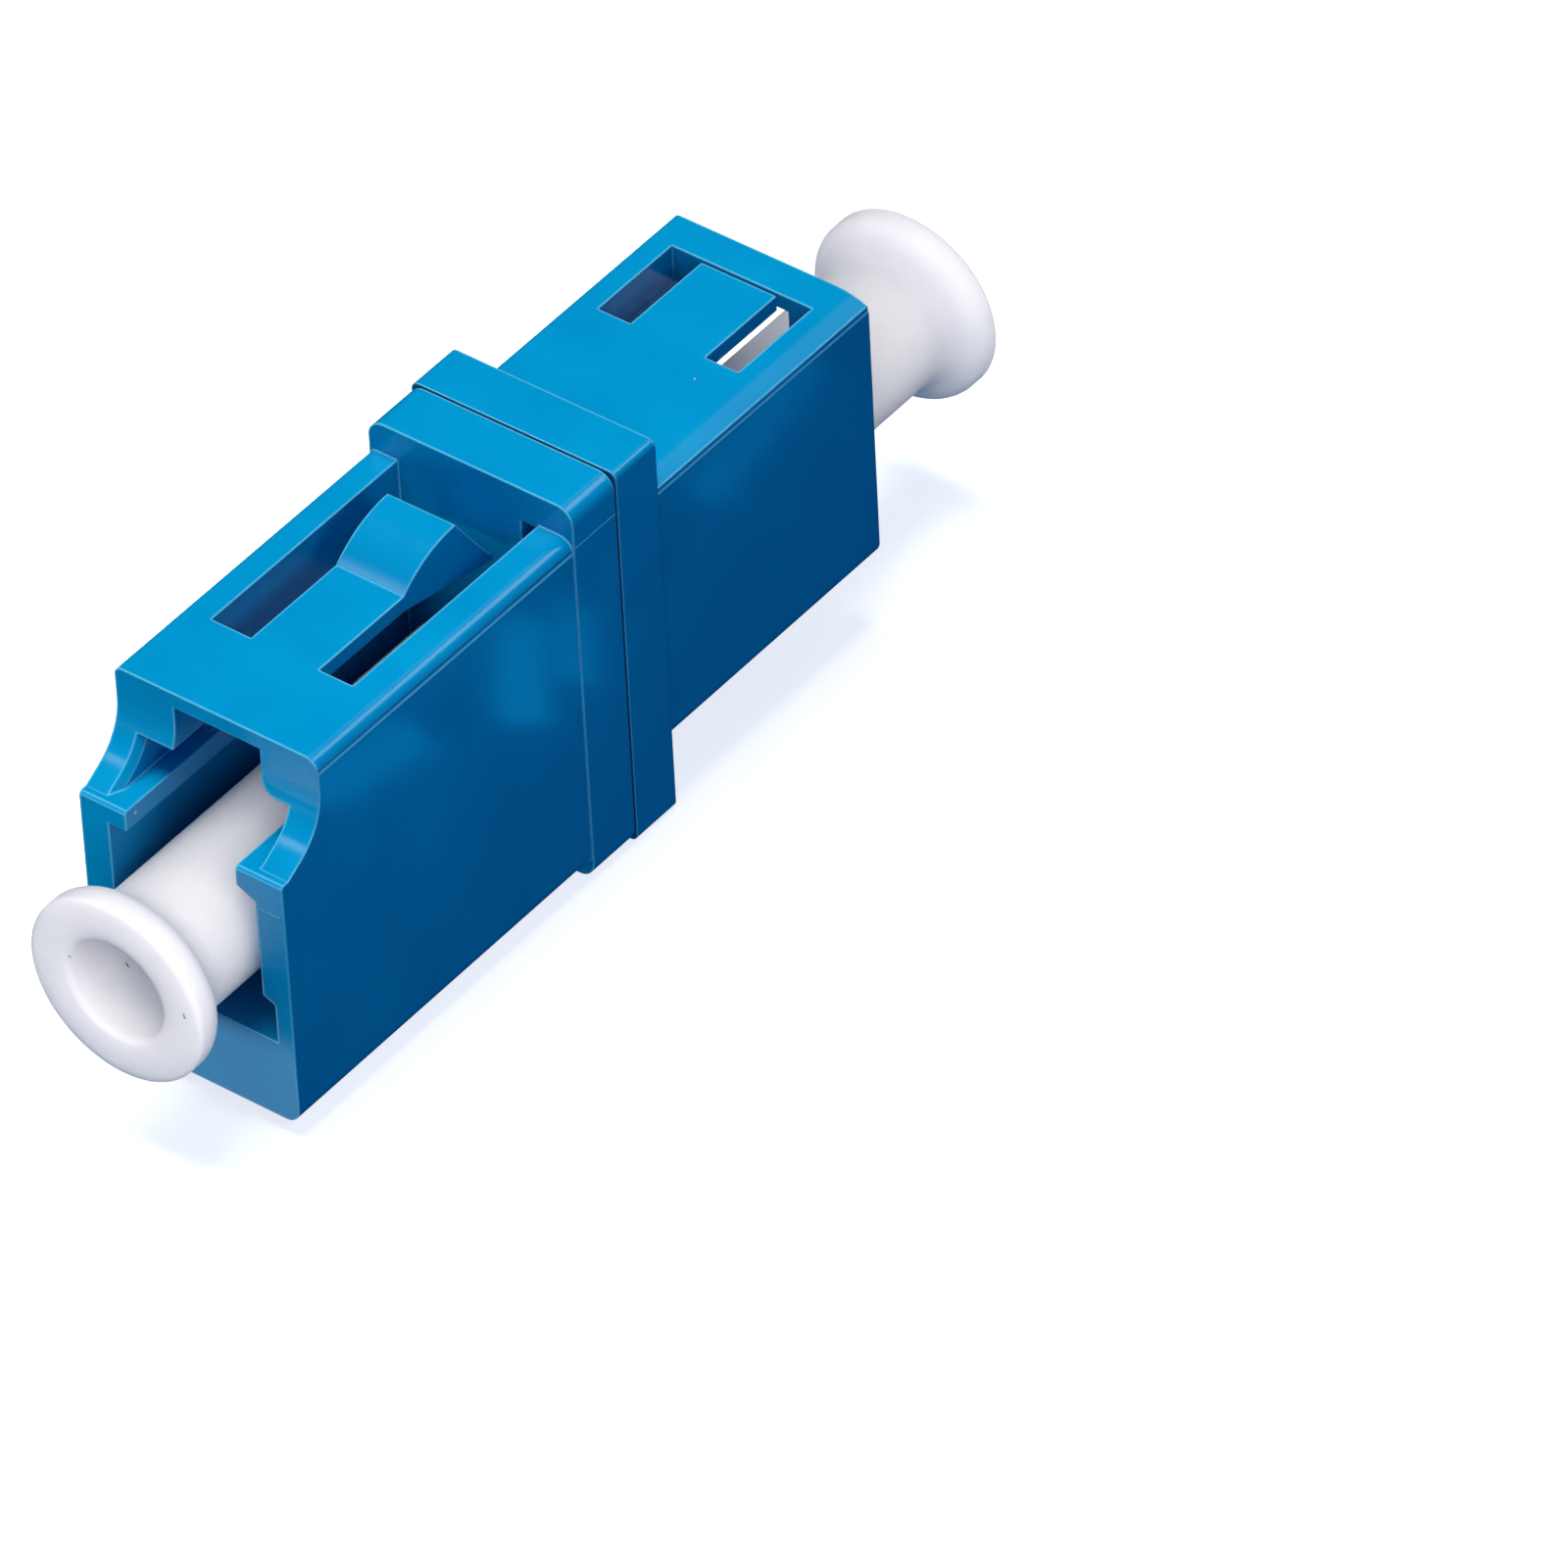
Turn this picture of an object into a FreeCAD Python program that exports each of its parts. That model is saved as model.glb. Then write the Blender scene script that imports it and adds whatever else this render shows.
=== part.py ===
import FreeCAD, Part
import math
import os
import Sketcher

# LC fibre adapter, simplex, with its two dust caps fitted.
# Millimetres. The Y axis is the optical axis, the origin is where the two ferrules meet,
# and +Z is the side that carries the connector latches and the panel clip.
# End A, with the panel clip, points to -Y and end B to +Y.

SIZES = (
    # Flange, whose two halves meet at the origin plane
    ("flange_width", 6.46),
    ("flange_top", 6.75),
    ("flange_bottom", 5.35),
    ("flange_depth_a", 1.73),
    ("flange_depth_b", 1.65),
    ("flange_round_a", 0.50),
    ("flange_round_b", 0.22),
    ("seam_gap", 0.08),
    ("seam_depth", 0.25),
    # Body A, with a lower lip that stands out past the set-back top wall
    ("width_a", 6.40),
    ("top_a", 5.81),
    ("bottom_a", 4.90),
    ("length_a", 13.60),
    ("set_back", 1.68),
    ("thumb_shelf", 0.26),
    ("thumb_radius", 1.80),
    ("thumb_slope", 30.0),
    ("thumb_edge", 0.20),
    ("lip_edge", 0.08),
    # Body B, a plain box
    ("width_b", 6.20),
    ("top_b", 5.20),
    ("bottom_b", 3.25),
    ("length_b", 10.55),
    # Top edges: +X crowned, with the witness step of the mould below the crown, and -X plainly rounded
    ("crown_reach_a", 0.43),
    ("crown_drop_a", 0.27),
    ("crown_reach_b", 1.02),
    ("crown_drop_b", 0.22),
    ("witness_drop", 0.16),
    ("witness_step", 0.03),
    ("top_round", 0.22),
    ("bottom_round", 0.45),
    # Port, the same in both bodies apart from its reliefs
    ("plug_size", 4.64),
    ("rib_gap", 3.48),
    ("rib_thickness", 0.61),
    ("latch_width_a", 4.64),
    ("latch_width_b", 4.72),
    ("latch_height", 1.14),
    ("keyway_width", 2.72),
    ("keyway_round", 0.50),
    ("rib_lead", 0.28),
    ("top_wall", 0.46),
    ("web_thickness", 1.73),
    ("relief_width", 5.38),
    ("relief_height", 1.15),
    ("relief_floor", 0.10),
    ("groove_width", 2.90),
    ("groove_depth", 0.48),
    ("groove_round", 0.26),
    # Windows in the tops of both bodies, which lie a little towards -X
    ("window_width", 4.46),
    ("window_offset", 0.10),
    # Panel clip of body A in its window
    ("window_start_a", 9.17),
    ("clip_width", 2.14),
    ("clip_thickness", 0.46),
    ("clip_foot", 5.80),
    ("clip_crest", 3.66),
    ("clip_rise", 0.84),
    ("clip_tail", 2.32),
    ("clip_tail_drop", 1.20),
    ("clip_hook", 0.17),
    # U-shaped window of body B round its tongue
    ("window_start_b", 6.40),
    ("window_end_b", 9.47),
    ("tongue_width", 2.38),
    ("tongue_gap", 0.12),
    # Small pockets beside the bodies in the faces of the flange
    ("notch_width", 0.45),
    ("notch_height", 0.90),
    ("notch_depth", 0.60),
    ("notch_inset", 0.12),
    # Barrels and the split sleeve that they hold
    ("barrel_diameter", 2.90),
    ("barrel_end", 3.95),
    ("ferrule_diameter", 1.25),
    ("sleeve_wall", 0.185),
    ("sleeve_length", 6.80),
    ("sleeve_slit", 0.30),
    ("sleeve_clearance", 0.04),
    ("sleeve_end_gap", 0.05),
    ("lead_in_diameter", 1.42),
    ("lead_in_mouth", 2.10),
    # Dust caps
    ("cap_clearance", 0.03),
    ("cap_tube_diameter", 3.83),
    ("cap_seat_a", 2.35),
    ("cap_seat_b", 2.18),
    ("cap_length", 14.10),
    ("cap_web_depth", 6.00),
    ("cap_web_thickness", 0.60),
    ("cap_rim_diameter", 5.44),
    ("cap_rim_depth", 0.45),
    ("cap_rim_round", 0.13),
    ("cap_flare_length", 1.25),
    ("cap_back_round", 0.55),
    ("cap_mouth_edge", 0.10),
)


class Size:
    """A size from the sheet, or a sum made of them: its value, and the expression that ties a feature to it."""

    def __init__(self, text, value):
        self.text = text
        self.value = value

    @staticmethod
    def of(other):
        return other if isinstance(other, Size) else Size(repr(float(other)), float(other))

    def __add__(self, other):
        other = Size.of(other)
        return Size(f"({self.text} + {other.text})", self.value + other.value)

    def __sub__(self, other):
        other = Size.of(other)
        return Size(f"({self.text} - {other.text})", self.value - other.value)

    def __mul__(self, other):
        other = Size.of(other)
        return Size(f"({self.text} * {other.text})", self.value * other.value)

    def __truediv__(self, other):
        other = Size.of(other)
        return Size(f"({self.text} / {other.text})", self.value / other.value)

    def __neg__(self):
        return Size(f"(-1 * {self.text})", -self.value)

    def tangent(self):
        return Size(f"tan({self.text} * 1 deg)", math.tan(math.radians(self.value)))

    def cosine(self):
        return Size(f"cos({self.text} * 1 deg)", math.cos(math.radians(self.value)))

    def sine(self):
        return Size(f"sin({self.text} * 1 deg)", math.sin(math.radians(self.value)))


ZERO = Size.of(0)
MARGIN = Size.of(1)

doc = FreeCAD.newDocument("lc_fibre_adapter")


def make_sheet():
    sheet = doc.addObject("Spreadsheet::Sheet", "Sizes")
    sizes = {}
    for row, (name, value) in enumerate(SIZES, start=1):
        sheet.set(f"A{row}", name)
        sheet.set(f"B{row}", str(value))
        sheet.setAlias(f"B{row}", name)
        sizes[name] = Size(f"Sizes.{name}", value)
    doc.recompute()
    return sizes


S = make_sheet()


def half(name):
    return S[name] / 2


# Sketches

def new_sketch(body, name, plane, offset=ZERO):
    """A sketch on an origin plane of the body, moved along the plane's normal."""
    sketch = body.newObject("Sketcher::SketchObject", name)
    origin_plane = next(item for item in body.Origin.OriginFeatures if item.Role == plane)
    sketch.AttachmentSupport = [(origin_plane, "")]
    sketch.MapMode = "FlatFace"
    sketch.AttachmentOffset = FreeCAD.Placement(FreeCAD.Vector(0, 0, offset.value), FreeCAD.Rotation())
    sketch.setExpression("AttachmentOffset.Base.z", offset.text)
    return sketch


def place_point(sketch, piece, end, point):
    """Ties one end of a line or arc to its two coordinates."""
    for kind, coordinate in (("DistanceX", point[0]), ("DistanceY", point[1])):
        index = sketch.addConstraint(Sketcher.Constraint(kind, piece, end, coordinate.value))
        sketch.setExpression(f"Constraints[{index}]", coordinate.text)


def arc_between(start, end, radius, clockwise):
    """The shorter arc from start to end, as the sketch holds it: anticlockwise."""
    first = FreeCAD.Vector(start[0].value, start[1].value, 0)
    last = FreeCAD.Vector(end[0].value, end[1].value, 0)
    if clockwise:
        first, last = last, first
    chord = last - first
    height = math.sqrt(max(radius.value ** 2 - (chord.Length / 2) ** 2, 0))
    centre = (first + last) / 2 + FreeCAD.Vector(-chord.y, chord.x, 0).normalize() * height
    angles = [math.atan2(point.y - centre.y, point.x - centre.x) for point in (first, last)]
    circle = Part.Circle(centre, FreeCAD.Vector(0, 0, 1), radius.value)
    return Part.ArcOfCircle(circle, angles[0], angles[1])


def draw_outline(sketch, steps):
    """A closed outline. A step is a point that a line runs to, or a point, a radius and a sense for an arc."""
    steps = [tuple(Size.of(item) for item in step[:2]) + step[2:] for step in steps]
    ends = []
    for number, step in enumerate(steps):
        start = steps[number - 1][:2]
        goal = step[:2]
        if len(step) == 2:
            corners = [FreeCAD.Vector(point[0].value, point[1].value, 0) for point in (start, goal)]
            piece = sketch.addGeometry(Part.LineSegment(*corners), False)
            ends.append((piece, 1, 2))
        else:
            clockwise = step[3] == "clockwise"
            piece = sketch.addGeometry(arc_between(start, goal, step[2], clockwise), False)
            ends.append((piece, 2, 1) if clockwise else (piece, 1, 2))
            index = sketch.addConstraint(Sketcher.Constraint("Radius", piece, step[2].value))
            sketch.setExpression(f"Constraints[{index}]", step[2].text)
    for number, (piece, first, last) in enumerate(ends):
        before = ends[number - 1]
        sketch.addConstraint(Sketcher.Constraint("Coincident", before[0], before[2], piece, first))
        place_point(sketch, piece, last, steps[number][:2])


def rectangle(left, right, low, high):
    return [(left, low), (right, low), (right, high), (left, high)]


def mirrored(right_side):
    """Completes an outline that is drawn from the bottom centre up the right side."""
    left_side = []
    for number in range(len(right_side) - 1, -1, -1):
        step = right_side[number]
        after = right_side[number + 1] if number + 1 < len(right_side) else None
        point = (-Size.of(step[0]), Size.of(step[1]))
        left_side.append(point + tuple(after[2:]) if after else point)
    return list(right_side) + left_side


def draw_circle(sketch, diameter):
    piece = sketch.addGeometry(Part.Circle(FreeCAD.Vector(0, 0, 0), FreeCAD.Vector(0, 0, 1), diameter.value / 2))
    sketch.addConstraint(Sketcher.Constraint("Coincident", piece, 3, -1, 1))
    index = sketch.addConstraint(Sketcher.Constraint("Diameter", piece, diameter.value))
    sketch.setExpression(f"Constraints[{index}]", diameter.text)


# Features

def pad(body, name, sketch, length, reverse=False, midplane=False):
    feature = body.newObject("PartDesign::Pad", name)
    feature.Profile = sketch
    feature.Length = length.value
    feature.setExpression("Length", length.text)
    feature.Midplane = midplane
    feature.Reversed = reverse
    doc.recompute()
    return feature


def pocket(body, name, sketch, length, reverse=False, midplane=False):
    """A cut, which must take material away."""
    before = body.Shape.Volume
    feature = body.newObject("PartDesign::Pocket", name)
    feature.Profile = sketch
    feature.Length = length.value
    feature.setExpression("Length", length.text)
    feature.Midplane = midplane
    feature.Reversed = reverse
    doc.recompute()
    if body.Shape.Volume > before - 1e-6:
        raise ValueError(f"{name} takes nothing away")
    return feature


def revolve(body, kind, name, sketch):
    """A turned form, or a turned cut, about the optical axis."""
    feature = body.newObject(f"PartDesign::{kind}", name)
    feature.Profile = sketch
    feature.ReferenceAxis = (sketch, ["H_Axis"])
    feature.Angle = 360
    doc.recompute()
    return feature


def new_body(label):
    body = doc.addObject("PartDesign::Body", label)
    body.Label = label
    return body


# Housing halves

def body_outline(end):
    """Section of a body: a flat bottom with round corners, and a top that falls away towards its +X edge."""
    side = half(f"width_{end}")
    top = S[f"top_{end}"]
    bottom = S[f"bottom_{end}"]
    reach = S[f"crown_reach_{end}"]
    drop = S[f"crown_drop_{end}"]
    upper_side = side - S["witness_step"]
    crown_run = reach - S["witness_step"]
    crown_edge = top - drop
    crown_radius = (crown_run * crown_run + drop * drop) / (drop * 2)
    witness = crown_edge - S["witness_drop"]
    rounding = S["bottom_round"]
    top_round = S["top_round"]
    return [
        (side - rounding, -bottom),
        (side, rounding - bottom, rounding, "anticlockwise"),
        (side, witness),
        (upper_side, witness),
        (upper_side, crown_edge),
        (side - reach, top, crown_radius, "anticlockwise"),
        (top_round - side, top),
        (-side, top - top_round, top_round, "anticlockwise"),
        (-side, rounding - bottom),
        (rounding - side, -bottom, rounding, "anticlockwise"),
    ]


def flange_outline(rounding):
    side = half("flange_width")
    return mirrored([
        (side - rounding, -S["flange_bottom"]),
        (side, rounding - S["flange_bottom"], rounding, "anticlockwise"),
        (side, S["flange_top"] - rounding),
        (side - rounding, S["flange_top"], rounding, "anticlockwise"),
    ])


def rib_top():
    return half("plug_size") + S["rib_thickness"]


def latch_way_top():
    return rib_top() + S["latch_height"]


def port_outline(latch_width, top):
    """Section of a port: the square plug way, two ribs over it, the latch way and, under the top, the keyway."""
    plug = half("plug_size")
    return mirrored([
        (plug, -plug),
        (plug, plug),
        (half("rib_gap"), plug),
        (half("rib_gap"), rib_top()),
        (S[latch_width] / 2, rib_top()),
        (S[latch_width] / 2, latch_way_top()),
        (half("keyway_width"), latch_way_top()),
        (half("keyway_width"), S[top] - S["top_wall"]),
    ])


def eased_port_outline(latch_width, top):
    """The port section of end A, whose +X side has a sloped rib and a round corner on the keyway."""
    steps = port_outline(latch_width, top)
    plug = half("plug_size")
    keyway = half("keyway_width")
    rounding = S["keyway_round"]
    steps[1] = (plug, plug - S["rib_lead"])
    steps[6:7] = [
        (keyway + rounding, latch_way_top()),
        (keyway, latch_way_top() + rounding, rounding, "clockwise"),
    ]
    return steps


def add_block(body, outline, length, name, reverse):
    sketch = new_sketch(body, f"{name}_section", "XZ_Plane")
    draw_outline(sketch, outline)
    pad(body, name, sketch, length, reverse)


def cut_port(body, outline, length, reverse):
    offset = S["web_thickness"] if not reverse else -S["web_thickness"]
    sketch = new_sketch(body, "port_section", "XZ_Plane", offset)
    draw_outline(sketch, outline)
    pocket(body, "port", sketch, S[length], reverse=not reverse)


def add_barrel(body, reverse):
    """The tube for half of the split sleeve. The cone at its mouth guides a ferrule and keeps the sleeve in."""
    sketch = new_sketch(body, "barrel_section", "XZ_Plane")
    draw_circle(sketch, S["barrel_diameter"])
    pad(body, "barrel", sketch, S["barrel_end"], reverse)
    sleeve_seat = half("ferrule_diameter") + S["sleeve_wall"] + S["sleeve_clearance"]
    seat_end = half("sleeve_length") + S["sleeve_end_gap"]
    way = 1 if reverse else -1
    sketch = new_sketch(body, "sleeve_seat_section", "YZ_Plane")
    steps = [
        (ZERO, ZERO),
        (S["barrel_end"] + MARGIN, ZERO),
        (S["barrel_end"] + MARGIN, half("lead_in_mouth")),
        (S["barrel_end"], half("lead_in_mouth")),
        (seat_end, half("lead_in_diameter")),
        (seat_end, sleeve_seat),
        (ZERO, sleeve_seat),
    ]
    draw_outline(sketch, [(place * way, radius) for place, radius in steps])
    revolve(body, "Groove", "sleeve_seat", sketch)


def cut_seam(body, reverse):
    """The shallow step round the rim, so that a fine dark line is left where the halves meet."""
    side = half("flange_width")
    inner = S["seam_depth"]
    low, high = -S["flange_bottom"], S["flange_top"]
    sketch = new_sketch(body, "seam_section", "XZ_Plane")
    draw_outline(sketch, rectangle(-side - MARGIN, side + MARGIN, low - MARGIN, high + MARGIN))
    draw_outline(sketch, rectangle(inner - side, side - inner, low + inner, high - inner))
    pocket(body, "seam", sketch, half("seam_gap"), reverse=not reverse)


def cut_notch(body, left, top, depth, reverse):
    """A small pocket in the outer face of the flange, beside the top corner of the body."""
    offset = depth if not reverse else -depth
    sketch = new_sketch(body, "notch_section", "XZ_Plane", offset)
    draw_outline(sketch, rectangle(left, left + S["notch_width"], top - S["notch_height"], top))
    pocket(body, "notch", sketch, S["notch_depth"], reverse=reverse)


def thumb_outline():
    """Side view of what is cut off the top of end A: down to a concave arc, and round it to a flat shelf."""
    face = S["set_back"] - S["length_a"]
    lip = -S["length_a"]
    slope = S["thumb_slope"]
    arc_depth = S["thumb_radius"] * (Size.of(1) - slope.sine())
    slope_run = S["set_back"] - S["thumb_shelf"] - arc_depth
    arc_foot = rib_top() + slope_run * slope.tangent()
    arc_top = arc_foot + S["thumb_radius"] * slope.cosine()
    beyond = lip - MARGIN
    edge = S["lip_edge"]
    return [
        (face, S["top_a"] + MARGIN),
        (beyond, S["top_a"] + MARGIN),
        (beyond, rib_top() - edge - MARGIN),
        (lip + edge, rib_top()),
        (lip + S["thumb_shelf"], rib_top()),
        (face - arc_depth, arc_foot),
        (face, arc_top, S["thumb_radius"], "anticlockwise"),
    ]


def clip_outline():
    """Side view of the panel clip: a strip flush with the top wall, a ramp up to a crest, and a steep back."""
    root = -S["window_start_a"] - MARGIN / 2
    foot = -S["clip_foot"]
    crest = -S["clip_crest"]
    tail = -S["clip_tail"]
    under = S["top_a"] - S["clip_thickness"]
    tail_under = S["top_a"] - S["clip_tail_drop"]
    tail_top = tail_under + S["clip_hook"]
    ramp_run = crest - foot
    ramp_radius = (ramp_run * ramp_run + S["clip_rise"] * S["clip_rise"]) / (S["clip_rise"] * 2)
    return [
        (root, under),
        (foot, under),
        (tail, tail_under),
        (tail, tail_top),
        (tail - S["clip_hook"], tail_top + S["clip_hook"]),
        (crest, S["top_a"] + S["clip_rise"]),
        (foot, S["top_a"], ramp_radius, "anticlockwise"),
        (root, S["top_a"]),
    ]


def ease_thumb_edges(body):
    """Chamfers the edges where the thumb cut meets the -X wall of the latch way."""
    wall = -half("latch_width_a").value
    lip = -S["length_a"].value
    names = []
    for number, edge in enumerate(body.Shape.Edges, start=1):
        box = edge.BoundBox
        on_wall = abs(box.Center.x - wall) < 1e-4 and box.XLength < 1e-4
        past_shelf = box.YMin > lip + S["thumb_shelf"].value - 1e-4
        in_cut = past_shelf and box.YMax < lip + S["set_back"].value + 1e-4
        if on_wall and in_cut and box.YLength > 0.01 and box.ZLength > 0.01:
            names.append(f"Edge{number}")
    if not names:
        raise ValueError("the edges of the thumb cut aren't there")
    cut_block = body.Tip
    chamfer = body.newObject("PartDesign::Chamfer", "thumb_edges")
    chamfer.Base = (cut_block, names)
    chamfer.Size = S["thumb_edge"].value
    chamfer.setExpression("Size", S["thumb_edge"].text)
    doc.recompute()


def window_sides():
    left = -half("window_width") - S["window_offset"]
    return left, left + S["window_width"]


def make_housing_a():
    body = new_body("housing_a")
    add_block(body, body_outline("a"), S["length_a"], "body_block", False)
    add_block(body, flange_outline(S["flange_round_a"]), S["flange_depth_a"], "flange_half", False)
    thumb = new_sketch(body, "thumb_profile", "YZ_Plane")
    draw_outline(thumb, thumb_outline())
    pocket(body, "thumb_cut", thumb, S["flange_width"] + MARGIN, midplane=True)
    cut_port(body, eased_port_outline("latch_width_a", "top_a"), "length_a", False)
    ease_thumb_edges(body)
    relief = new_sketch(body, "relief_section", "XZ_Plane", S["web_thickness"])
    plug = half("plug_size")
    shoulder = (half("relief_width") - plug) / 2
    draw_outline(relief, mirrored([
        (half("relief_width"), -plug - S["relief_floor"]),
        (half("relief_width"), S["relief_height"] - plug),
        (plug - S["relief_floor"], S["relief_height"] - plug + shoulder),
    ]))
    pocket(body, "relief", relief, S["length_a"], reverse=True)
    window = new_sketch(body, "window_outline", "XY_Plane", S["top_a"] + MARGIN)
    left, right = window_sides()
    draw_outline(window, rectangle(left, right, -S["window_start_a"], -S["flange_depth_a"]))
    pocket(body, "window", window, S["top_a"] + MARGIN - latch_way_top())
    clip = new_sketch(body, "clip_profile", "YZ_Plane")
    draw_outline(clip, clip_outline())
    pad(body, "panel_clip", clip, S["clip_width"], midplane=True)
    notch_left = right - S["notch_width"] - S["notch_inset"]
    cut_notch(body, notch_left, S["top_a"] - S["notch_inset"], S["flange_depth_a"], False)
    add_barrel(body, False)
    cut_seam(body, False)
    return body


def make_housing_b():
    body = new_body("housing_b")
    add_block(body, body_outline("b"), S["length_b"], "body_block", True)
    add_block(body, flange_outline(S["flange_round_b"]), S["flange_depth_b"], "flange_half", True)
    cut_port(body, port_outline("latch_width_b", "top_b"), "length_b", True)
    groove = new_sketch(body, "groove_section", "XZ_Plane", -S["web_thickness"])
    groove_side = half("groove_width")
    groove_floor = -half("plug_size") - S["groove_depth"]
    rounding = S["groove_round"]
    draw_outline(groove, mirrored([
        (groove_side - rounding, groove_floor),
        (groove_side, groove_floor + rounding, rounding, "anticlockwise"),
        (groove_side, ZERO),
    ]))
    pocket(body, "floor_groove", groove, S["length_b"])
    window = new_sketch(body, "window_outline", "XY_Plane", S["top_b"] + MARGIN)
    left, right = window_sides()
    tongue_left = left + (S["window_width"] - S["tongue_width"]) / 2
    tongue_right = tongue_left + S["tongue_width"]
    slot_start = S["window_start_b"]
    gap_start = S["window_end_b"] - S["tongue_gap"]
    draw_outline(window, [
        (left, slot_start),
        (tongue_left, slot_start),
        (tongue_left, gap_start),
        (tongue_right, gap_start),
        (tongue_right, slot_start),
        (right, slot_start),
        (right, S["window_end_b"]),
        (left, S["window_end_b"]),
    ])
    pocket(body, "window", window, S["top_b"] + MARGIN - latch_way_top())
    notch_left = S["notch_width"] - half("width_b")
    cut_notch(body, notch_left, S["top_b"] + S["notch_width"], S["flange_depth_b"], True)
    add_barrel(body, True)
    cut_seam(body, True)
    return body


# Sleeve and caps

def make_split_sleeve():
    """A thin tube with one lengthwise slit, which grips both ferrules."""
    body = new_body("split_sleeve")
    section = new_sketch(body, "sleeve_section", "XZ_Plane")
    draw_circle(section, S["ferrule_diameter"] + S["sleeve_wall"] * 2)
    draw_circle(section, S["ferrule_diameter"])
    pad(body, "sleeve_tube", section, S["sleeve_length"], midplane=True)
    slit = new_sketch(body, "slit_section", "XZ_Plane")
    draw_outline(slit, rectangle(-half("sleeve_slit"), half("sleeve_slit"), -S["ferrule_diameter"], ZERO))
    pocket(body, "slit", slit, S["sleeve_length"] + MARGIN, midplane=True)
    return body


def cap_outline(way, start):
    """Half section of a cap: a tube over the barrel, a flare that runs into a round rim, and a blind hole."""
    bore = half("barrel_diameter") + S["cap_clearance"]
    tube = half("cap_tube_diameter")
    rim = half("cap_rim_diameter")
    end = start + S["cap_length"]
    rim_back = end - S["cap_rim_depth"]
    run = S["cap_flare_length"]
    rise = rim - tube
    both_radii = (run * run + rise * rise) / (rise * 2)
    back_round = S["cap_back_round"]
    joint = (rim_back - back_round * run / both_radii, rim - back_round * rise / both_radii)
    web_end = end - S["cap_web_depth"]
    web_start = web_end - S["cap_web_thickness"]
    rounding = S["cap_rim_round"]
    mouth = S["cap_mouth_edge"]
    inward, outward = ("clockwise", "anticlockwise") if way > 0 else ("anticlockwise", "clockwise")
    steps = [
        (web_start, ZERO),
        (web_start, bore),
        (start, bore),
        (start, tube),
        (rim_back - run, tube),
        (joint[0], joint[1], both_radii - back_round, outward),
        (rim_back, rim, back_round, inward),
        (end - rounding, rim),
        (end, rim - rounding, rounding, inward),
        (end, bore + mouth),
        (end - mouth, bore),
        (web_end, bore),
        (web_end, ZERO),
    ]
    return [(step[0] * way,) + step[1:] for step in steps]


def make_dust_cap(label, way, seat):
    body = new_body(label)
    section = new_sketch(body, "cap_section", "YZ_Plane")
    draw_outline(section, cap_outline(way, S[seat]))
    revolve(body, "Revolution", "cap_turned", section)
    return body


def check_and_write(bodies):
    """Every feature must have been built, and every sub-part must be one sound solid, before a file is written."""
    doc.recompute()
    for item in doc.Objects:
        if "Invalid" in item.State or "Error" in item.State:
            raise ValueError(f"{item.Label} failed: {item.State}")
    for body in bodies:
        shape = body.Shape
        if shape.isNull() or not shape.isValid() or len(shape.Solids) != 1:
            raise ValueError(f"{body.Label} isn't one sound solid")
        print(body.Label, "volume", round(shape.Volume, 3), "faces", len(shape.Faces), shape.BoundBox)
    os.makedirs("parts", exist_ok=True)
    for body in bodies:
        body.Shape.exportStep(f"parts/{body.Label}.step")


check_and_write([
    make_housing_a(),
    make_housing_b(),
    make_split_sleeve(),
    make_dust_cap("dust_cap_a", -1, "cap_seat_a"),
    make_dust_cap("dust_cap_b", 1, "cap_seat_b"),
])
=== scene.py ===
import math

import bmesh
import bpy
from mathutils import Matrix, Vector


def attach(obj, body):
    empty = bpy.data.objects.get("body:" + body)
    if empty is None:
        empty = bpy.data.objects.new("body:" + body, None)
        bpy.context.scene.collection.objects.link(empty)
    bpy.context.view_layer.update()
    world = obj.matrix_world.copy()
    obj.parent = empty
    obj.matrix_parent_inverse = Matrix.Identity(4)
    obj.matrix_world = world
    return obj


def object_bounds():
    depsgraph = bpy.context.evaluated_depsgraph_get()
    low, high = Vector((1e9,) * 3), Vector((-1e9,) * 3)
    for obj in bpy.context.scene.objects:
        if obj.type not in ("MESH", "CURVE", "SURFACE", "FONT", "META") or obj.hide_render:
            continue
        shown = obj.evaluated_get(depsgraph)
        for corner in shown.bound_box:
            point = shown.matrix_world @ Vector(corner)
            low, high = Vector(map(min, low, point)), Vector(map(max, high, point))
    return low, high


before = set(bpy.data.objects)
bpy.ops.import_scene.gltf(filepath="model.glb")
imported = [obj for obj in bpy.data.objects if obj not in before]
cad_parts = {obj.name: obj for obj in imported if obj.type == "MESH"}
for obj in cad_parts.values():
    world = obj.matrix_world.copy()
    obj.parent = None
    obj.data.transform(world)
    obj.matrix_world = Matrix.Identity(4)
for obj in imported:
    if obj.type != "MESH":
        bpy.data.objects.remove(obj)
CAD_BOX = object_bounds()
BOTTOM = CAD_BOX[0][2]
MM = 0.001
EDGE_RADIUS = 0.09 * MM
FLOOR_GAP = 0.02 * MM
FLOOR_REACH = 1.5

# The direction that the edges with a painted highlight in the blue plastic turn to: up, to the front and to
# the right
PAINTED_HIGHLIGHT_SIDE = (0.35, -0.45, 0.82)

WHITE_LIGHT = "#FFFFFF"
KEY_LIGHT = "#FFFBF0"
COOL_LIGHT = "#E8F4FF"
CAP_LIGHT = "#FFF4E4"
NEAR_CAP_LIGHT = "#FFF8F0"
FLOOR_BLUE = "#10B8FF"


# Colours and material nodes

def linear(hex_colour):
    """An sRGB hex colour as linear values, opaque."""
    channels = [int(hex_colour[i:i + 2], 16) / 255 for i in (1, 3, 5)]
    return tuple(c / 12.92 if c <= 0.04045 else ((c + 0.055) / 1.055) ** 2.4 for c in channels) + (1.0,)


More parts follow.
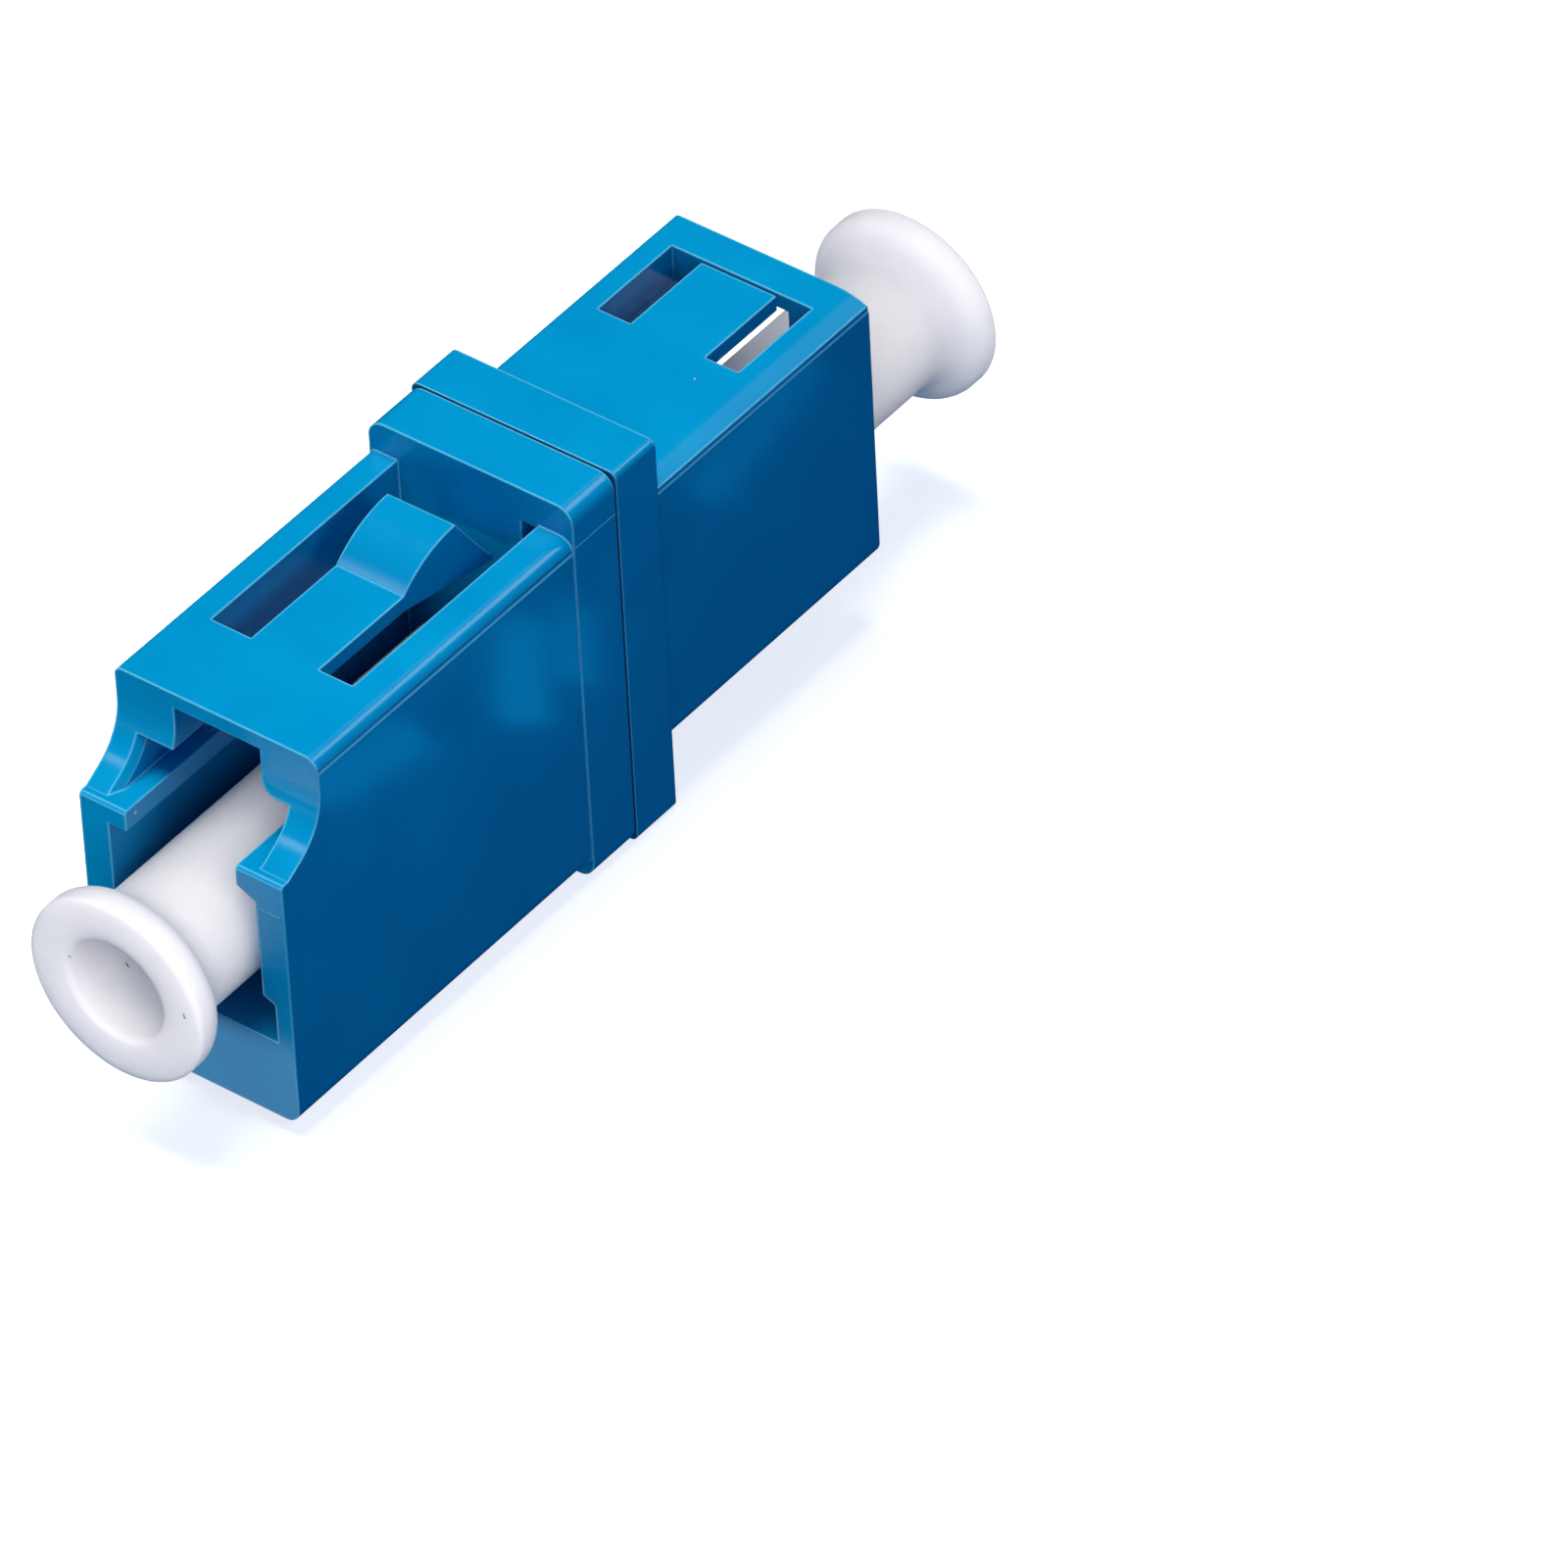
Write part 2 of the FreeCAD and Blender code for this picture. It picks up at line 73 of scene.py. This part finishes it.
def add_node(tree, kind, settings=None, links=None, values=None):
    """Adds a node, with its settings, its unlinked input values and its input links."""
    node = tree.nodes.new(kind)
    for key, value in (settings or {}).items():
        setattr(node, key, value)
    for key, value in (values or {}).items():
        node.inputs[key].default_value = value
    for key, source in (links or {}).items():
        tree.links.new(source, node.inputs[key])
    return node


def start_material(name):
    material = bpy.data.materials.new(name)
    material.use_nodes = True
    tree = material.node_tree
    tree.nodes.clear()
    return material, tree


def finish_material(tree, links, values):
    """Ends a material's tree with one Principled shader."""
    shader = add_node(tree, "ShaderNodeBsdfPrincipled", links=links, values=values)
    add_node(tree, "ShaderNodeOutputMaterial", links={"Surface": shader.outputs["BSDF"]})


def object_place(tree):
    return add_node(tree, "ShaderNodeTexCoord").outputs["Object"]


def noise(tree, place, patch, detail=2.0):
    """Noise with patches of about the given size."""
    return add_node(tree, "ShaderNodeTexNoise", links={"Vector": place},
                    values={"Scale": 1 / patch, "Detail": detail}).outputs["Fac"]


def colour_ramp(tree, factor, colours, ends=(0.0, 1.0)):
    """Blends from one colour to the other while the factor goes from one end to the other."""
    ramp = add_node(tree, "ShaderNodeValToRGB", links={"Fac": factor})
    for element, colour, end in zip(ramp.color_ramp.elements, colours, ends):
        element.position = end
        element.color = linear(colour)
    return ramp.outputs["Color"]


def spread(tree, factor, low, high):
    """Spreads a factor from 0 to 1 over a range of values."""
    return add_node(tree, "ShaderNodeMapRange", links={"Value": factor},
                    values={"To Min": low, "To Max": high}).outputs["Result"]


def bump(tree, height, strength, distance, normal=None):
    """Tilts a normal by a height texture."""
    links = {"Height": height} if normal is None else {"Height": height, "Normal": normal}
    return add_node(tree, "ShaderNodeBump", links=links,
                    values={"Strength": strength, "Distance": distance}).outputs["Normal"]


def rounded_edges(tree, radius, samples):
    """The normal of a surface whose sharp edges are rounded."""
    return add_node(tree, "ShaderNodeBevel", settings={"samples": samples},
                    values={"Radius": radius}).outputs["Normal"]


def dot_product(tree, **inputs):
    return add_node(tree, "ShaderNodeVectorMath", settings={"operation": "DOT_PRODUCT"},
                    **inputs).outputs["Value"]


def mix_in(tree, factor, colour, other):
    """Mixes a fixed colour into a linked one. The Mix node's colour sockets go by number, because their names
    aren't unique."""
    mixed = add_node(tree, "ShaderNodeMix", settings={"data_type": "RGBA"},
                     links={0: factor, 6: colour}, values={7: linear(other)})
    return mixed.outputs[2]


def painted_edge_highlights(tree, rounded, colour):
    """Paints a light highlight colour into the flat colour beside a rounded edge, standing in for the light
    that gathers there. Edges that turn down or to the back left get no painted highlight."""
    flat = add_node(tree, "ShaderNodeNewGeometry").outputs["Normal"]
    # The cosine between the rounded and the flat normal falls from 1 to 0.95 at a turn of 18 degrees
    bend = add_node(tree, "ShaderNodeMapRange",
                    links={"Value": dot_product(tree, links={0: rounded, 1: flat})},
                    values={"From Min": 0.995, "From Max": 0.95, "To Min": 0.0, "To Max": 1.0})
    towards = dot_product(tree, links={0: rounded}, values={1: PAINTED_HIGHLIGHT_SIDE})
    highlight_share = add_node(tree, "ShaderNodeMapRange",
                        links={"Value": towards, "To Max": bend.outputs["Result"]},
                        values={"From Min": 0.05, "From Max": 0.28, "To Min": 0.0})
    # Painted highlight: a light cyan mixed into the base colour where the rounded edge turns towards the lit
    # side
    return mix_in(tree, highlight_share.outputs["Result"], colour, "#70DAFF")


def shaded_seam(tree, place, colour):
    """Darkens the walls of the 0.08 mm gap between the two housing halves, which light hardly enters."""
    along = add_node(tree, "ShaderNodeSeparateXYZ", links={"Vector": place}).outputs["Y"]
    offset = add_node(tree, "ShaderNodeMath", settings={"operation": "ABSOLUTE"}, links={0: along})
    shade = add_node(tree, "ShaderNodeMapRange", links={"Value": offset.outputs["Value"]},
                     values={"From Min": 0.039 * MM, "From Max": 0.043 * MM,
                             "To Min": 0.85, "To Max": 0.0})
    return mix_in(tree, shade.outputs["Result"], colour, "#003C70")


def moulded_blue_pbt():
    """PBT moulded in a polished tool: a saturated blue, glossy enough for soft reflections, with the faint
    waviness that thin walls get as they cool."""
    material, tree = start_material("moulded_gloss_pbt_blue")
    place = object_place(tree)
    # Flow shade: broad patches 3 mm across, where the melt front slowed down
    shade = colour_ramp(tree, noise(tree, place, 3.0 * MM), ("#0095CC", "#049FD4"), (0.30, 0.72))
    # Sink and tool waviness, 1.2 mm from crest to crest and a few micrometres high
    waves = noise(tree, place, 1.2 * MM, detail=1.0)
    # Polishing haze of the tool, drawn at 0.08 mm because the real grain is too fine to show
    grain = noise(tree, place, 0.08 * MM)
    # The small radius of every moulded edge
    rounded = rounded_edges(tree, EDGE_RADIUS, 8)
    broad = bump(tree, waves, 0.35, 0.006 * MM, rounded)
    fine = bump(tree, grain, 0.10, 0.001 * MM, broad)
    # Painted highlight on the edges that turn up, to the front or to the right
    lit = painted_edge_highlights(tree, rounded, shade)
    finish_material(tree,
                    links={"Base Color": shaded_seam(tree, place, lit),
                           "Roughness": spread(tree, grain, 0.11, 0.18), "Normal": fine},
                    values={"IOR": 1.50, "Specular IOR Level": 0.32})
    return material


def moulded_white_polyethylene():
    """Low-density polyethylene moulded in a fine-blasted tool: milky, satin, with light carried through
    thin walls."""
    material, tree = start_material("moulded_satin_polyethylene_white")
    place = object_place(tree)
    # Milky clouds, 1.5 mm across
    cloud = noise(tree, place, 1.5 * MM, detail=3.0)
    shade = colour_ramp(tree, cloud, ("#E2E2E8", "#E9E8EC"), (0.30, 0.70))
    # Blasted tool texture, drawn at 0.06 mm because the real grain of 0.02 mm is too fine to show
    grain = noise(tree, place, 0.06 * MM)
    soft = bump(tree, grain, 0.15, 0.002 * MM, rounded_edges(tree, 0.10 * MM, 6))
    finish_material(tree,
                    links={"Base Color": shade, "Roughness": spread(tree, cloud, 0.40, 0.52), "Normal": soft},
                    values={"IOR": 1.51, "Specular IOR Level": 0.35, "Subsurface Weight": 1.0,
                            "Subsurface Radius": (1.0, 0.98, 1.0), "Subsurface Scale": 1.6 * MM})
    return material


def ground_zirconia():
    """Zirconia ceramic, sintered and ground round: ivory white with a low sheen and fine grinding rings."""
    material, tree = start_material("ground_zirconia_ivory")
    # Grinding rings round the tube, 0.05 mm apart
    rings = add_node(tree, "ShaderNodeTexWave", settings={"wave_type": "BANDS", "bands_direction": "Y"},
                     links={"Vector": object_place(tree)},
                     values={"Scale": 0.3 / (0.05 * MM), "Distortion": 0.4, "Detail": 2.0}).outputs["Fac"]
    finish_material(tree,
                    links={"Base Color": colour_ramp(tree, rings, ("#E6E1D6", "#F1EDE4")),
                           "Normal": bump(tree, rings, 0.2, 0.001 * MM)},
                    values={"IOR": 2.1, "Roughness": 0.28, "Subsurface Weight": 0.2,
                            "Subsurface Radius": (1.0, 0.9, 0.7), "Subsurface Scale": 0.3 * MM})
    return material


def settled_lint(name, hex_colour):
    """Settled dust: matt and mottled, so it reads as a fibre and not as a hole."""
    material, tree = start_material(name)
    mottle = noise(tree, object_place(tree), 0.03 * MM)
    finish_material(tree, links={"Base Color": colour_ramp(tree, mottle, (hex_colour, "#9A9CA4"))},
                    values={"Roughness": 0.9})
    return material


BLUE = moulded_blue_pbt()
WHITE = moulded_white_polyethylene()
CERAMIC = ground_zirconia()

for node, material in (("housing_a", BLUE), ("housing_b", BLUE), ("split_sleeve", CERAMIC),
                       ("dust_cap_a", WHITE), ("dust_cap_b", WHITE)):
    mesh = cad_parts[node].data
    mesh.materials.clear()
    mesh.materials.append(material)


# Fine moulding marks and dust, made with Geometry Nodes

def link(obj):
    bpy.context.scene.collection.objects.link(obj)
    return obj


def apply_nodes(name, paths, tree, values):
    """A plain mesh from a node tree run over some paths, each a list of points in millimetres and whether
    it is closed."""
    mesh = bpy.data.meshes.new(name + "_paths")
    points, edges = [], []
    for path, closed in paths:
        first = len(points)
        points += [Vector(point) * MM for point in path]
        edges += [(first + i, first + i + 1) for i in range(len(path) - 1)]
        if closed:
            edges.append((len(points) - 1, first))
    mesh.from_pydata(points, edges, [])
    source = link(bpy.data.objects.new(name + "_paths", mesh))
    modifier = source.modifiers.new("nodes", "NODES")
    modifier.node_group = tree
    sockets = {item.name: item.identifier for item in tree.interface.items_tree
               if item.item_type == "SOCKET" and item.in_out == "INPUT"}
    for key, value in values.items():
        modifier[sockets[key]] = value
    source.update_tag()
    bpy.context.view_layer.update()
    evaluated = source.evaluated_get(bpy.context.evaluated_depsgraph_get())
    finished = bpy.data.meshes.new_from_object(evaluated)
    finished.name = name
    bpy.data.objects.remove(source)
    return link(bpy.data.objects.new(name, finished))


def start_tree(name, inputs):
    """An empty geometry node tree with named inputs, each with its socket type and default."""
    tree = bpy.data.node_groups.new(name, "GeometryNodeTree")
    tree.interface.new_socket("Geometry", in_out="INPUT", socket_type="NodeSocketGeometry")
    for key, kind, default in inputs:
        socket = tree.interface.new_socket(key, in_out="INPUT", socket_type=kind)
        if default is not None:
            socket.default_value = default
    tree.interface.new_socket("Geometry", in_out="OUTPUT", socket_type="NodeSocketGeometry")
    return tree, add_node(tree, "NodeGroupInput").outputs


def end_tree(tree, geometry, material):
    real = add_node(tree, "GeometryNodeRealizeInstances", links={"Geometry": geometry})
    painted = add_node(tree, "GeometryNodeSetMaterial",
                       links={"Geometry": real.outputs["Geometry"], "Material": material})
    add_node(tree, "NodeGroupOutput", links={"Geometry": painted.outputs["Geometry"]})
    return tree


def ridge_tree():
    """Sweeps a round bead along every path: half of it stands out of the surface the path lies on."""
    tree, given = start_tree("raised_ridge", (("Radius", "NodeSocketFloat", 0.025 * MM),
                                              ("Sides", "NodeSocketInt", 10),
                                              ("Material", "NodeSocketMaterial", None)))
    curve = add_node(tree, "GeometryNodeMeshToCurve", links={"Mesh": given["Geometry"]})
    profile = add_node(tree, "GeometryNodeCurvePrimitiveCircle",
                       links={"Resolution": given["Sides"], "Radius": given["Radius"]})
    bead = add_node(tree, "GeometryNodeCurveToMesh", values={"Fill Caps": True},
                    links={"Curve": curve.outputs["Curve"], "Profile Curve": profile.outputs["Curve"]})
    return end_tree(tree, bead.outputs["Mesh"], given["Material"])


def speck_tree():
    """Sets a long grain on every point, each turned and sized by the seed."""
    tree, given = start_tree("dust_specks", (("Radius", "NodeSocketFloat", 0.06 * MM),
                                             ("Slenderness", "NodeSocketFloat", 0.35),
                                             ("Seed", "NodeSocketInt", 4),
                                             ("Material", "NodeSocketMaterial", None)))
    ball = add_node(tree, "GeometryNodeMeshIcoSphere", links={"Radius": given["Radius"]},
                    values={"Subdivisions": 2})
    shape = add_node(tree, "ShaderNodeCombineXYZ", values={"X": 1.0},
                     links={"Y": given["Slenderness"], "Z": given["Slenderness"]})
    size = add_node(tree, "FunctionNodeRandomValue", settings={"data_type": "FLOAT"},
                    links={"Seed": given["Seed"]}, values={2: 0.7, 3: 1.2})
    scale = add_node(tree, "ShaderNodeVectorMath", settings={"operation": "SCALE"},
                     links={0: shape.outputs["Vector"], "Scale": size.outputs[1]})
    turn = add_node(tree, "FunctionNodeRandomValue", settings={"data_type": "FLOAT_VECTOR"},
                    links={"Seed": given["Seed"]}, values={0: (0, 0.4, 0), 1: (0, 1.4, 0)})
    grains = add_node(tree, "GeometryNodeInstanceOnPoints",
                      links={"Points": given["Geometry"], "Instance": ball.outputs["Mesh"],
                             "Rotation": turn.outputs[0], "Scale": scale.outputs["Vector"]})
    return end_tree(tree, grains.outputs["Instances"], given["Material"])


def ring_path(centre, radius, steps):
    """A flat circle that faces up."""
    angles = [2 * math.pi * i / steps for i in range(steps)]
    return [(centre[0] + radius * math.cos(a), centre[1] + radius * math.sin(a), centre[2]) for a in angles]


def add_moulding_marks():
    """Witness lines of the tool's inserts on the flange's side and end A's front, and an ejector ring in
    the port."""
    flange_line = [(3.23, -1.69, 5.55), (3.23, -0.05, 5.55)]
    front_line = [(2.42, -13.6, 1.87), (3.09, -13.6, 1.87)]
    ejector_ring = ring_path((-2.045, -9.90, 2.93), 0.13, 24)
    marks = apply_nodes("moulding_marks", [(flange_line, False), (front_line, False), (ejector_ring, True)],
                        ridge_tree(), {"Radius": 0.022 * MM, "Sides": 10, "Material": BLUE})
    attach(marks, "adapter")
    return marks


def add_dust():
    """The dust that the photograph shows on the near cap and the blue plastic."""
    tree = speck_tree()
    dark = settled_lint("settled_lint_dark", "#4A4C52")
    pale = settled_lint("settled_lint_pale", "#E4F2FA")
    on_cap = [(2.218, -16.45, 0.323), (-1.466, -16.393, 0.399), (-1.112, -14.69, -0.972)]
    cap = apply_nodes("cap_dust", [(on_cap, False)], tree,
                      {"Radius": 0.09 * MM, "Slenderness": 0.25, "Seed": 4, "Material": dark})
    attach(cap, "cap_a")
    on_blue = [(-1.74, -13.221, 2.678), (1.395, 5.566, 5.2)]
    blue = apply_nodes("housing_dust", [(on_blue, False)], tree,
                       {"Radius": 0.045 * MM, "Slenderness": 0.8, "Seed": 7, "Material": pale})
    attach(blue, "adapter")
    return cap, blue


marks = add_moulding_marks()
cap_dust, blue_dust = add_dust()


# Floor, lamps and camera

def make_floor():
    """A matt floor with a glow of its own, so that it stays white and only takes a faint shadow."""
    shape = bmesh.new()
    bmesh.ops.create_grid(shape, x_segments=1, y_segments=1, size=FLOOR_REACH)
    mesh = bpy.data.meshes.new("floor")
    shape.to_mesh(mesh)
    shape.free()
    # A hair under the flange, so that the two flat faces don't share one plane
    mesh.transform(Matrix.Translation((0, 0, BOTTOM - FLOOR_GAP)))
    floor = link(bpy.data.objects.new("floor", mesh))
    material, tree = start_material("matt_white_sweep")
    finish_material(tree, links={},
                    values={"Base Color": linear("#E6E6E8"), "Roughness": 0.9, "Specular IOR Level": 0.0,
                            "Emission Color": linear("#FFFFFF"), "Emission Strength": 0.72})
    mesh.materials.append(material)
    floor.visible_diffuse = False
    floor.visible_glossy = False
    return floor


def add_lamp(name, place, size, power, colour):
    """A soft box that faces the origin and lights the object but doesn't mirror in it. Place and size are
    in millimetres."""
    data = bpy.data.lights.new(name, "AREA")
    data.shape = "RECTANGLE"
    data.size, data.size_y = size[0] * MM, size[1] * MM
    data.energy = power
    data.color = linear(colour)[:3]
    lamp = link(bpy.data.objects.new(name, data))
    lamp.location = Vector(place) * MM
    lamp.rotation_euler = Vector(place).to_track_quat("Z", "Y").to_euler()
    lamp.visible_glossy = False
    lamp.visible_camera = False
    return lamp


def add_card(name, place, size, power, colour=WHITE_LIGHT):
    """A card that only mirrors in gloss, as a bright streak on edges and curves."""
    card = add_lamp(name, place, size, power, colour)
    card.visible_glossy = True
    card.visible_diffuse = False
    return card


def add_floor_card(name, place, size, turn, power, colour=FLOOR_BLUE):
    """A card that lies face up on the floor and mirrors in the flat wall beside it. Turn is in degrees."""
    card = add_card(name, (place[0], place[1], BOTTOM / MM), size, power, colour)
    card.rotation_euler = (math.pi, 0, math.radians(turn))
    return card


def light_only(lamps, objects):
    """Keeps the light of some lamps to some of the objects."""
    lit = bpy.data.collections.new(lamps[0].name + "_objects")
    for thing in objects:
        lit.objects.link(thing)
    for lamp in lamps:
        lamp.light_linking.receiver_collection = lit


def light_housing(housing, others):
    """A key almost overhead, a low soft box in front and a small one on the right light the housing and the
    fine pieces on it. Three standing cards and five on the floor mirror in the housing alone."""
    lamps = [
        add_lamp("key_soft_box", (-90, -20, 490), (280, 280), 2.25, KEY_LIGHT),
        add_lamp("low_front_soft_box", (-12, -62, -1), (60, 8), 0.0118, KEY_LIGHT),
        add_lamp("side_soft_box", (24, -12, 22), (8, 8), 0.0015, COOL_LIGHT),
    ]
    light_only(lamps, housing + others)
    cards = [
        add_card("front_card", (-216, -248, 297), (60, 70), 0.056),
        add_card("rim_card", (144, 266, 306), (200, 110), 0.27),
        add_card("crown_card", (-20, 255, 345), (100, 130), 0.030),
        add_floor_card("floor_card_front", (-0.5, -14.9), (7.5, 2.6), 0, 0.000055, WHITE_LIGHT),
        add_floor_card("floor_card_flange", (9.7, 3.6), (4.2, 1.3), 50, 0.000040),
        add_floor_card("floor_card_flange_back", (9.3, 5.3), (3.2, 0.9), 50, 0.000016),
        add_floor_card("floor_card_side", (10.8, -1.5), (1.5, 3.6), 12, 0.000040),
        add_floor_card("floor_card_end", (10.4, 14.8), (6.2, 0.8), 80, 0.000032),
    ]
    light_only(cards, housing)


def light_cap(cap, others, right_place, powers):
    """A tent of six soft boxes round a white cap, so that its shading stays faint."""
    tent = (
        ("top", (-60, -60, 450), 420, CAP_LIGHT),
        ("front", (-90, -430, 90), 420, CAP_LIGHT),
        ("right", right_place, 420, CAP_LIGHT),
        ("left", (-430, 60, 80), 420, CAP_LIGHT),
        ("back", (60, 430, 100), 420, CAP_LIGHT),
        ("near", (215, -264, 294), 300, NEAR_CAP_LIGHT),
    )
    lamps = [add_lamp(cap + "_" + side + "_soft_box", place, (size, size), power, colour)
             for (side, place, size, colour), power in zip(tent, powers)]
    light_only(lamps, [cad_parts[cap]] + others)


def make_camera():
    """The photograph's view: 39 degrees round, 41 degrees up, rolled 3 degrees, with a long lens."""
    azimuth, elevation, roll = (math.radians(a) for a in (39.2315, 40.8551, -3.0317))
    place = Vector((205.577, -241.817, 269.024)) * MM
    forward = Vector((-math.sin(azimuth) * math.cos(elevation), math.cos(azimuth) * math.cos(elevation),
                      -math.sin(elevation)))
    side = forward.cross(Vector((0, 0, 1))).normalized()
    up = side.cross(forward)
    right = side * math.cos(roll) + up * math.sin(roll)
    top = up * math.cos(roll) - side * math.sin(roll)
    data = bpy.data.cameras.new("camera")
    data.lens = 379.31
    data.sensor_width = 36.0
    data.clip_start = 0.05
    data.clip_end = 10.0
    camera = link(bpy.data.objects.new("camera", data))
    camera.matrix_world = Matrix((
        (right.x, top.x, -forward.x, place.x),
        (right.y, top.y, -forward.y, place.y),
        (right.z, top.z, -forward.z, place.z),
        (0, 0, 0, 1),
    ))
    bpy.context.scene.camera = camera


def make_world(shade):
    """A dim surround that fills the shaded sides but doesn't mirror in gloss."""
    world = bpy.data.worlds.new("studio")
    world.use_nodes = True
    background = world.node_tree.nodes["Background"]
    background.inputs["Color"].default_value = linear(shade)
    background.inputs["Strength"].default_value = 1.0
    world.cycles_visibility.glossy = False
    bpy.context.scene.world = world


floor = make_floor()
make_world("#46678E")
light_housing([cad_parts[name] for name in ("housing_a", "housing_b", "split_sleeve")],
              [floor, marks, blue_dust])
# The far cap's right soft box stands further back, so that the underside of its flare stays in shade
light_cap("dust_cap_a", [cap_dust], (430, -60, 100), (1.05, 0.72, 0.84, 0.60, 0.68, 1.92))
light_cap("dust_cap_b", [], (330, 290, 80), (0.93, 0.72, 1.20, 0.62, 0.68, 1.84))
make_camera()
bpy.context.scene.view_settings.view_transform = "Standard"
